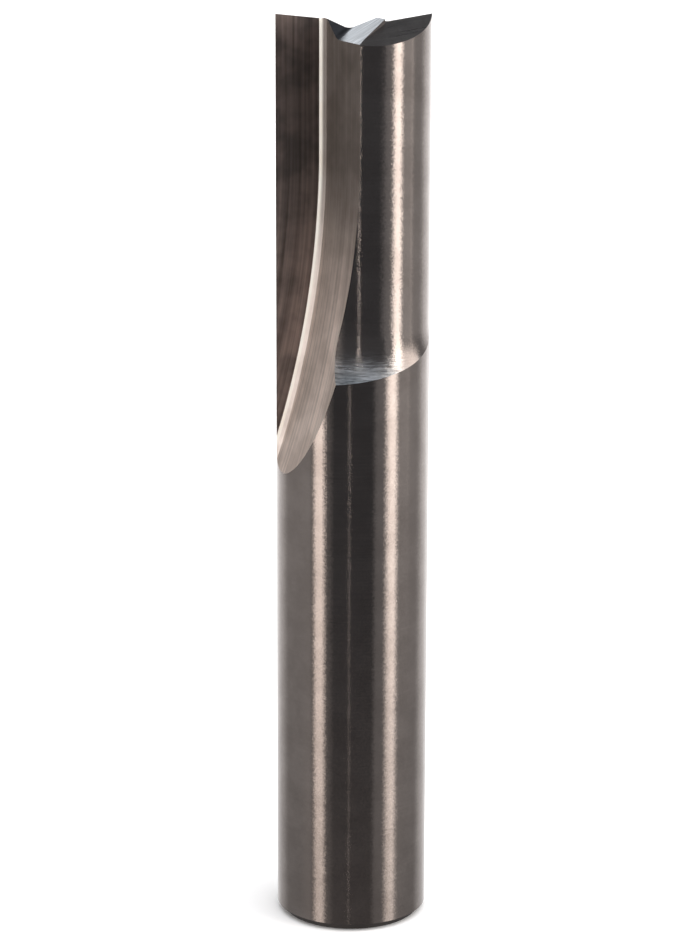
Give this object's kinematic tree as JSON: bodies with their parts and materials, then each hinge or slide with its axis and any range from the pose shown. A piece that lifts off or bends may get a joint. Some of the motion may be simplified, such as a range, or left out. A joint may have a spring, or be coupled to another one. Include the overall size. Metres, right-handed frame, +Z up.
{
  "type": "router bit",
  "caption": "Solid carbide straight router bit with two flutes, eccentric relieved lands and a notched cutting end on a plain round shank.",
  "frame": {"origin": "centre of the flat end face of the shank, on the bit's axis", "axes": "+Z up the axis towards the cutting end; the two cutting edges lie on the X axis, and the bit turns anticlockwise seen from the cutting end"},
  "size_m": [0.0126, 0.0126, 0.0768],
  "materials": {
    "carbide": "ground"
  },
  "bodies": {
    "root": {"router_bit": "carbide"}
  },
  "joints": []
}
